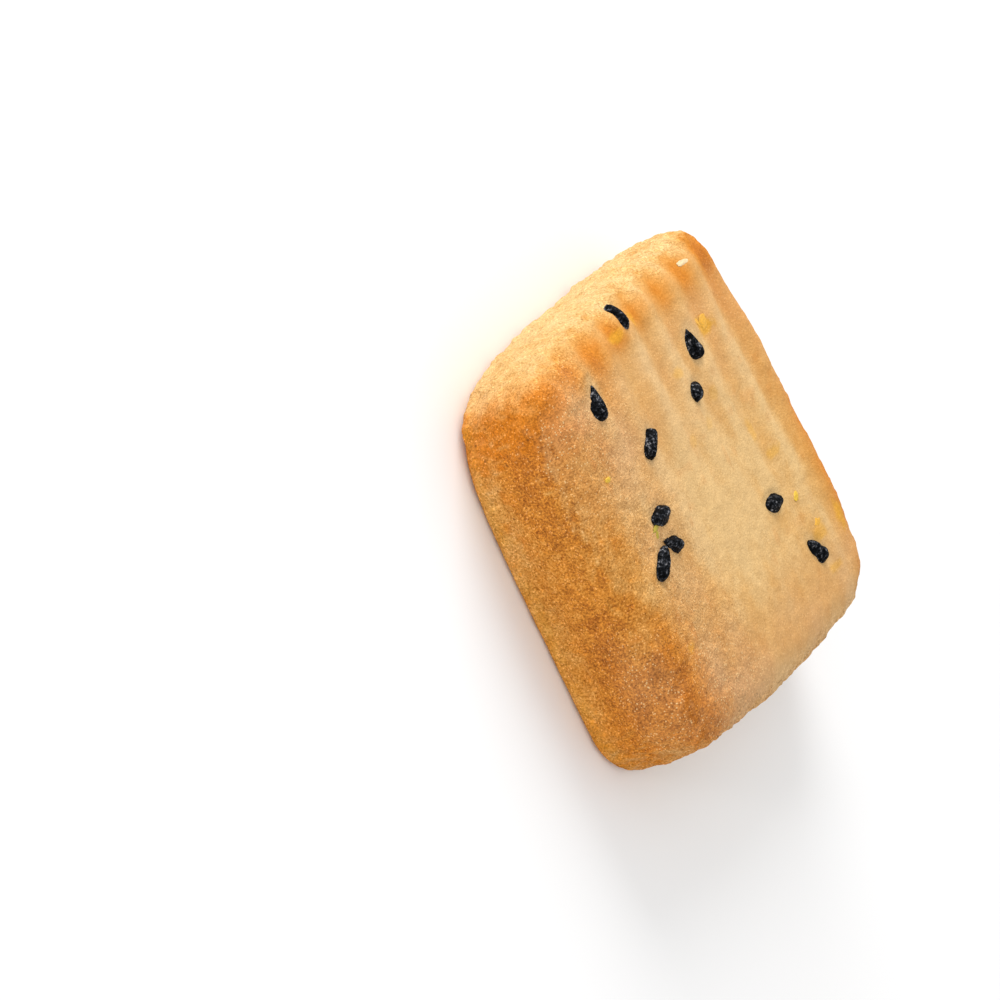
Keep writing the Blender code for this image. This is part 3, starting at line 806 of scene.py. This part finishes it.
def tint_node(tree, share, under, colour):
    """Colour laid over another by a share."""
    inputs = {"Factor": share, "A": under, "B": colour}
    return add_node(tree, "ShaderNodeMix", inputs, data_type="RGBA").outputs["Result"]


def bump_node(tree, height, strength, depth):
    """Normal bumped by a height."""
    inputs = {"Strength": strength, "Distance": depth, "Height": height}
    return add_node(tree, "ShaderNodeBump", inputs).outputs["Normal"]


def new_material(name):
    """Material with nodes: the material, its node tree and its shader."""
    material = bpy.data.materials.new(name)
    material.use_nodes = True
    return material, material.node_tree, material.node_tree.nodes["Principled BSDF"]


def make_crumb_group():
    """Node group for baked crumb, in true sizes from Object coordinates: a mask for each feature
    of the crumb, and its height."""
    group = bpy.data.node_groups.new("baked crumb", "ShaderNodeTree")
    group.interface.new_socket("Grain size", in_out="INPUT", socket_type="NodeSocketFloat")
    for name in ("Grain", "Patch", "Crevice", "Glint", "Crumb", "Pit", "Height"):
        group.interface.new_socket(name, in_out="OUTPUT", socket_type="NodeSocketFloat")
    size = add_node(group, "NodeGroupInput", {}).outputs["Grain size"]
    where = add_node(group, "ShaderNodeTexCoord", {}).outputs["Object"]
    grain = noise_node(group, where, math_node(group, "DIVIDE", 1.0, size), *GRAIN_NOISE)
    patch = noise_node(group, where, PATCHES_PER_METRE, *PATCH_NOISE)
    hollow = noise_node(group, where, CREVICES_PER_METRE, *CREVICE_NOISE)
    crevice = soft_step_node(group, hollow, *CREVICE_RANGE)
    crystal, crystal_pick = cell_nodes(group, where, CRYSTALS_PER_METRE)
    glint = math_node(group, "MULTIPLY", math_node(group, "LESS_THAN", crystal, GLINT_REACH),
                      math_node(group, "GREATER_THAN", crystal_pick, GLINT_PICK))
    lump, lump_pick = cell_nodes(group, where, PITS_PER_METRE)
    pit = math_node(group, "MULTIPLY", math_node(group, "LESS_THAN", lump, PIT_REACH),
                    math_node(group, "GREATER_THAN", lump_pick, PIT_PICK))
    crumb = math_node(group, "MULTIPLY", soft_step_node(group, lump, *CRUMB_EDGE),
                      math_node(group, "LESS_THAN", lump_pick, CRUMB_PICK))
    height = weighted_sum(group, grain, ((crystal, CRYSTAL_HEIGHT), (patch, PATCH_HEIGHT),
                                         (crevice, CREVICE_HEIGHT)))
    add_node(group, "NodeGroupOutput", {"Grain": grain, "Patch": patch, "Crevice": crevice,
                                        "Glint": glint, "Crumb": crumb, "Pit": pit, "Height": height})
    return group


CRUMB_GROUP = make_crumb_group()


def make_crust_material():
    """Baked crust: the browning share, with its painted shade and light, broken up by grain and
    patches, picks the colour, and caramel, beige with a painted sheen, yellow stains, glints and pits lie
    over it."""
    material, tree, shader = new_material("baked crust")
    crumb = add_node(tree, "ShaderNodeGroup", {"Grain size": GRAIN_SIZE}, node_tree=CRUMB_GROUP).outputs
    shares = {}
    for name in crust_shares:
        shares[name] = add_node(tree, "ShaderNodeAttribute", {}, attribute_name=name).outputs["Fac"]
    coarse = shares["graininess"]
    grain = math_node(tree, "MULTIPLY", math_node(tree, "SUBTRACT", crumb["Grain"], 0.5), coarse)
    patch_strength = math_node(tree, "MULTIPLY_ADD", coarse, COARSE_PATCHES, LEAST_PATCHES)
    patch = math_node(tree, "MULTIPLY", math_node(tree, "SUBTRACT", crumb["Patch"], 0.5), patch_strength)
    crevice, pale_crumb, glint, pit, height = (
        math_node(tree, "MULTIPLY", crumb[name], coarse)
        for name in ("Crevice", "Crumb", "Glint", "Pit", "Height"))
    share = weighted_sum(tree, shares["tan_and_painted_light"], (
        (grain, GRAIN_TAN), (patch, PATCH_TAN), (crevice, CREVICE_PAINTED_SHADE), (shares["seed_rim_painted_light"], SEED_RIM_PAINTED_LIGHT)))
    colour = ramp_node(tree, share, CRUST_COLOURS)
    for name, tint in (("caramel", CARAMEL_COLOUR), ("beige_and_sheen", BEIGE_AND_SHEEN_COLOUR), ("zest_stain_and_foot_light", STAIN_AND_FOOT_LIGHT_COLOUR)):
        colour = tint_node(tree, shares[name], colour, tint)
    light = weighted_sum(tree, 1.0, (
        (grain, GRAIN_LIGHT), (patch, PATCH_LIGHT), (pale_crumb, CRUMB_LIGHT), (glint, GLINT_LIGHT)))
    lit = add_node(tree, "ShaderNodeVectorMath", {0: colour, "Scale": light}, operation="SCALE")
    cover = math_node(tree, "MULTIPLY_ADD", shares["beige_and_sheen"], BLUSH_GLINT_COVER, GLINT_COVER)
    glint_cover = math_node(tree, "MULTIPLY", glint, cover)
    colour = tint_node(tree, glint_cover, lit.outputs["Vector"], GLINT_COLOUR)
    colour = tint_node(tree, math_node(tree, "MULTIPLY", pit, PIT_COVER), colour, PIT_COLOUR)
    gloss = math_node(tree, "MULTIPLY_ADD", crumb["Glint"], GLINT_ROUGHNESS, CRUST_ROUGHNESS)
    feed_inputs(tree, shader, {"Base Color": colour, "Roughness": gloss,
                               "Specular IOR Level": CRUST_SPECULAR,
                               "Normal": bump_node(tree, height, CRUST_BUMP, CRUST_BUMP_DEPTH)})
    return material


dough.data.materials.append(make_crust_material())
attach(dough, "root")
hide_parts("biscuit")

# Nigella seeds.
# Small dry black seeds, three-cornered and pointed at one end, with a netted, wrinkled coat
# that is dull but for tiny glints. They are baked in, sunk by more than half.
# Each form: how sharp its point is, how blunt its other end, and how deep its waist.
SEED_FORMS = {"pointed": (0.66, 4.5, 0.0), "rod": (0.15, 9.0, 0.0), "slim": (0.42, 4.0, 0.0),
              "plump": (0.50, 2.6, 0.0), "waisted": (0.42, 4.0, 0.22), "wedge": (0.85, 7.0, 0.0)}
SEED_STATIONS = 44
SEED_TURNS = 36
SEED_HEIGHT_PER_WIDTH = 0.85
FIRST_SEED_DRAW = 60
KEEL_DEPTH = 0.16
OVAL_DEPTH = 0.04
SECTION_TWIST = 0.25
SEED_BEND = 0.10
WAIST_PLACE = 0.52
WAIST_REACH = 0.09
NET_CELL = 0.36 * MM
NET_DEPTH = 0.055 * MM
NET_MEAN = 0.6
NET_REACH = 1.15
COAT_CELLS_PER_METRE = 2900.0
WRINKLES_PER_METRE = 3000.0
WRINKLE_NOISE = (4.0, 0.7)
# Zones where the painted highlights of the coat gather.
SHINE_ZONES_PER_METRE = 900.0
SHINE_NOISE = (1.0, 0.5)
COAT_CELL_WEIGHT = -0.35
SHINE_WEIGHT = 0.30
WRINKLE_ROUGHNESS = 0.4
COAT_ROUGHNESS = 0.20
COAT_SPECULAR = 0.03
COAT_BUMP_DEPTH = 0.12 * MM
# Coat colours: near black cells, dull grey wrinkles, and painted highlights on the brightest crests.
SEED_COAT_AND_PAINTED_GLINT_COLOURS = ((0.34, (0.0008, 0.0009, 0.0012)), (0.47, (0.005, 0.006, 0.008)),
                (0.56, (0.034, 0.037, 0.045)), (0.66, (0.26, 0.26, 0.27)))


def tube_faces(rows, columns):
    """Faces of a closed tube: quads on its grid of points, and a fan to the point at each end. The
    two end points come after the grid."""
    index = np.arange(rows * columns).reshape(rows, columns)
    start = np.full(columns, rows * columns)
    return [grid_quads(index, closed=True),
            np.stack([start, np.roll(index[0], -1), index[0]], -1),
            np.stack([start + 1, index[-1], np.roll(index[-1], -1)], -1)]


def seed_net(points, span, rng):
    """Net of ridges: at each point, 1 minus a smooth step of the difference of the distances to the
    two nearest scattered points."""
    count = int(np.prod(2.0 * NET_REACH * span) / NET_CELL ** 3)
    scattered = rng.uniform(-NET_REACH, NET_REACH, (count, 3)) * span
    near = np.sort(np.linalg.norm(points[:, None] - scattered[None], axis=2), axis=1)
    return 1.0 - smooth(0.0, 0.5 * NET_CELL, near[:, 1] - near[:, 0])


def seed_surface(seat, seed):
    """Teardrop on a grid of stations u and turns v: the radius is u^a (1 - u^b)^0.5, the section
    is a circle plus a second and a third harmonic, and a net of ridges lies over it."""
    sharp, blunt, waist = SEED_FORMS[seat["form"]]
    rng = np.random.RandomState(seed)
    u = np.linspace(0.0, 1.0, SEED_STATIONS)[1:-1]
    u = 0.5 - 0.5 * np.cos(math.pi * u)
    v = np.linspace(0.0, 2.0 * math.pi, SEED_TURNS, endpoint=False)
    size = u ** sharp * np.sqrt(1.0 - u ** blunt)
    size /= size.max()
    size *= 1.0 - waist * bell(u - WAIST_PLACE, WAIST_REACH)
    u, v = np.meshgrid(u, v, indexing="ij")
    turn = rng.uniform(-SECTION_TWIST, SECTION_TWIST)
    keel = np.cos(3.0 * (v - 0.5 * math.pi - turn))
    radius = size[:, None] * (1.0 + KEEL_DEPTH * keel + OVAL_DEPTH * np.cos(2.0 * v + turn))
    bend = SEED_BEND * seat["width"] * rng.uniform(-1.0, 1.0) * np.sin(math.pi * u)
    height = SEED_HEIGHT_PER_WIDTH * seat["width"]
    x = (u - 0.5) * seat["length"]
    y = 0.5 * seat["width"] * radius * np.cos(v) + bend
    z = 0.5 * height * radius * np.sin(v)
    grid = np.stack([x, y, z], -1).reshape(-1, 3)
    ends = np.array([[-0.5 * seat["length"], 0.0, 0.0], [0.5 * seat["length"], 0.0, 0.0]])
    points = np.vstack([grid, ends])
    span = np.array([0.5 * seat["length"], 0.5 * seat["width"], 0.5 * height])
    outward = points / span ** 2
    outward /= np.linalg.norm(outward, axis=1)[:, None]
    points = points + outward * (NET_DEPTH * (seed_net(points, span, rng) - NET_MEAN))[:, None]
    lift = seat["stand"] - 0.5 * height
    placed = points @ seat["axes"] + seat["place"] + seat["axes"][2] * lift
    return placed, tube_faces(*u.shape)


def join_surfaces(name, surfaces):
    """One mesh object from several point arrays, each with its arrays of faces."""
    points = []
    faces = []
    start = 0
    for placed, groups in surfaces:
        points.append(placed)
        for group in groups:
            faces.extend((group + start).tolist())
        start += len(placed)
    return mesh_object(name, np.vstack(points), faces)


def make_seed_material():
    """Blue-black seed coat: dark cells, a dull grey net of wrinkles, partly grey bloom and partly painted
    highlight, and a few tiny bright crests, which are painted highlights.
    """
    material, tree, shader = new_material("seed coat")
    where = add_node(tree, "ShaderNodeTexCoord", {}).outputs["Object"]
    cells = add_node(tree, "ShaderNodeTexVoronoi", {"Vector": where, "Scale": COAT_CELLS_PER_METRE},
                     feature="DISTANCE_TO_EDGE")
    wrinkle = noise_node(tree, where, WRINKLES_PER_METRE, *WRINKLE_NOISE)
    coat = weighted_sum(tree, wrinkle, ((cells.outputs["Distance"], COAT_CELL_WEIGHT),))
    zone = noise_node(tree, where, SHINE_ZONES_PER_METRE, *SHINE_NOISE)
    shine = weighted_sum(tree, coat, ((math_node(tree, "SUBTRACT", zone, 0.5), SHINE_WEIGHT),))
    gloss = math_node(tree, "MULTIPLY_ADD", wrinkle, WRINKLE_ROUGHNESS, COAT_ROUGHNESS)
    feed_inputs(tree, shader, {"Base Color": ramp_node(tree, shine, SEED_COAT_AND_PAINTED_GLINT_COLOURS),
                               "Roughness": gloss, "Specular IOR Level": COAT_SPECULAR,
                               "Normal": bump_node(tree, coat, 1.0, COAT_BUMP_DEPTH)})
    return material


seeds = join_surfaces("nigella_seeds", [seed_surface(seat, FIRST_SEED_DRAW + n)
                                        for n, seat in enumerate(seats)])
seeds.data.materials.append(make_seed_material())
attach(seeds, "root")

# Zest flecks.
# Tiny shreds of yellow peel and one pale crumb of sugar, rolled into the face with the dough and
# baked flat. Each has its place x and y, heading, length, width, kind and number for its draw.
ZEST_FLECKS = (
    (9.8 * MM, 11.7 * MM, 20.0, 1.8 * MM, 1.3 * MM, "golden", 0),
    (8.7 * MM, 12.1 * MM, 120.0, 1.0 * MM, 0.7 * MM, "golden", 1),
    (-12.5 * MM, 1.0 * MM, 5.0, 1.5 * MM, 0.5 * MM, "green", 2),
    (-12.9 * MM, 0.5 * MM, 60.0, 0.7 * MM, 0.4 * MM, "green", 3),
    (10.7 * MM, -6.2 * MM, 30.0, 1.1 * MM, 0.8 * MM, "yellow", 4),
    (12.1 * MM, -9.4 * MM, 10.0, 1.3 * MM, 0.7 * MM, "golden", 5),
    (-15.8 * MM, 7.2 * MM, 0.0, 0.8 * MM, 0.5 * MM, "yellow", 6),
    (-4.0 * MM, 16.2 * MM, 0.0, 1.5 * MM, 0.7 * MM, "golden", 7),
    (11.4 * MM, 17.1 * MM, -14.0, 1.6 * MM, 0.6 * MM, "sugar", 30),
)
FLECK_THICKNESS = 0.14 * MM
FLECK_STATIONS = 12
FLECK_TURNS = 22
FLECK_RIM_LAYERS = ((0.30, 0.55, 50), (0.15, 0.25, 51))
FLECK_STANDS = {"golden": -0.02 * MM, "yellow": -0.02 * MM, "green": -0.02 * MM, "sugar": -0.03 * MM}
FLECK_COLOURS = {"golden": (0.76, 0.385, 0.030), "yellow": (0.74, 0.46, 0.030),
                 "green": (0.40, 0.31, 0.022), "sugar": (0.66, 0.50, 0.28)}
FLECK_GRAIN_SIZE = 0.22 * MM
FLECK_GRAIN_LIGHT = 0.8
FLECK_LIGHT = 0.6
FLECK_ROUGHNESS = 0.55
FLECK_BUMP = 0.4
FLECK_BUMP_DEPTH = 0.08 * MM


def fleck_surface(seat, number):
    """Flat ragged pebble: a squashed sphere on a grid, its rim moved in and out by crumb noise. The
    grid starts at its front end, so its faces are turned round to point outwards."""
    u = np.linspace(0.0, math.pi, FLECK_STATIONS)[1:-1]
    v = np.linspace(0.0, 2.0 * math.pi, FLECK_TURNS, endpoint=False)
    u, v = np.meshgrid(u, v, indexing="ij")
    ball = np.stack([np.cos(u), np.sin(u) * np.cos(v), np.sin(u) * np.sin(v)], -1).reshape(-1, 3)
    ball = np.vstack([ball, [[1.0, 0.0, 0.0], [-1.0, 0.0, 0.0]]])
    rim = 1.0 + layered(crumb_noise, ball + number, FLECK_RIM_LAYERS)
    points = ball * rim[:, None] * 0.5 * np.array([seat["length"], seat["width"], FLECK_THICKNESS])
    placed = points @ seat["axes"] + seat["place"] + seat["axes"][2] * seat["stand"]
    return placed, [faces[:, ::-1] for faces in tube_faces(*u.shape)]


def make_fleck_material(kind):
    """Baked peel or sugar: its colour mottled by the same crumb as the dough, a little glossy."""
    material, tree, shader = new_material("zest " + kind)
    crumb = add_node(tree, "ShaderNodeGroup", {"Grain size": FLECK_GRAIN_SIZE},
                     node_tree=CRUMB_GROUP).outputs
    shade = math_node(tree, "MULTIPLY_ADD", crumb["Grain"], FLECK_GRAIN_LIGHT, FLECK_LIGHT)
    lit = add_node(tree, "ShaderNodeVectorMath", {0: FLECK_COLOURS[kind], "Scale": shade},
                   operation="SCALE")
    feed_inputs(tree, shader, {"Base Color": lit.outputs["Vector"], "Roughness": FLECK_ROUGHNESS,
                               "Normal": bump_node(tree, crumb["Height"], FLECK_BUMP, FLECK_BUMP_DEPTH)})
    return material


for kind in FLECK_COLOURS:
    shapes = []
    for x, y, heading, length, width, fleck_kind, number in ZEST_FLECKS:
        if fleck_kind == kind:
            seat = surface_seat((x, y, OUTSIDE), (0.0, 0.0, -1.0), heading, length, width,
                                FLECK_STANDS[kind])
            shapes.append(fleck_surface(seat, number))
    flecks = join_surfaces("zest_" + kind, shapes)
    flecks.data.materials.append(make_fleck_material(kind))
    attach(flecks, "root")

# Table and light.
# A plain white table in a bright white room, one large soft lamp beyond the far side of the
# biscuit and a little to the right, and a smaller, weaker one low at its left.
TABLE_HALF = 0.6
TABLE_COLOUR = (0.92, 0.92, 0.92, 1.0)
TABLE_ROUGHNESS = 0.9
LAMP_DIRECTION = Vector((0.34, 0.86, 0.38)).normalized()
LAMP_DISTANCE = 0.42
LAMP_SIZE = 0.26
LAMP_POWER = 1.36
FILL_DIRECTION = Vector((-0.86, 0.48, 0.13)).normalized()
FILL_DISTANCE = 0.50
FILL_SIZE = 0.10
FILL_POWER = 0.56
ROOM_COLOUR = (1.0, 1.0, 1.0, 1.0)
ROOM_BRIGHTNESS = 0.88

table_points = np.array([[-1.0, -1.0, 0.0], [1.0, -1.0, 0.0], [1.0, 1.0, 0.0], [-1.0, 1.0, 0.0]])
table = mesh_object("table", TABLE_HALF * table_points, [[0, 1, 2, 3]])
table_finish, table_tree, table_shader = new_material("white table")
feed_inputs(table_tree, table_shader, {"Base Color": TABLE_COLOUR, "Roughness": TABLE_ROUGHNESS})
table.data.materials.append(table_finish)


def place_lamp(name, direction, distance, size, power):
    """Round soft lamp at a distance in a direction from the origin, turned towards it."""
    data = bpy.data.lights.new(name, "AREA")
    data.shape = "DISK"
    data.size = size
    data.energy = power
    lamp = bpy.data.objects.new(name, data)
    lamp.location = direction * distance
    lamp.rotation_euler = direction.to_track_quat("Z", "Y").to_euler()
    bpy.context.scene.collection.objects.link(lamp)


place_lamp("soft lamp", LAMP_DIRECTION, LAMP_DISTANCE, LAMP_SIZE, LAMP_POWER)
place_lamp("fill lamp", FILL_DIRECTION, FILL_DISTANCE, FILL_SIZE, FILL_POWER)

room = bpy.data.worlds.new("bright room")
room.use_nodes = True
room_light = {"Color": ROOM_COLOUR, "Strength": ROOM_BRIGHTNESS}
feed_inputs(room.node_tree, room.node_tree.nodes["Background"], room_light)
bpy.context.scene.world = room
bpy.context.scene.view_settings.view_transform = "Standard"

# Camera.
# A long lens looks down on the seeded face from over its left side, rolled so that the far side
# of the square runs up and to the right across the picture.
CAMERA_PLACE = Vector((-583.1 * MM, 151.0 * MM, 367.5 * MM))
CAMERA_RIGHT = Vector((0.4163, -0.4212, 0.8058)).normalized()
CAMERA_UP = Vector((0.3904, 0.8832, 0.2600))
CAMERA_LENS = 288.0
CAMERA_SENSOR = 36.0
CAMERA_NEAREST = 0.01

camera_data = bpy.data.cameras.new("camera")
camera_data.sensor_width = CAMERA_SENSOR
camera_data.lens = CAMERA_LENS
camera_data.clip_start = CAMERA_NEAREST
camera = bpy.data.objects.new("camera", camera_data)
camera_back = CAMERA_RIGHT.cross(CAMERA_UP).normalized()
camera_up = camera_back.cross(CAMERA_RIGHT)
turn = Matrix((CAMERA_RIGHT, camera_up, camera_back)).transposed().to_4x4()
camera.matrix_world = Matrix.Translation(CAMERA_PLACE) @ turn
bpy.context.scene.collection.objects.link(camera)
bpy.context.scene.camera = camera
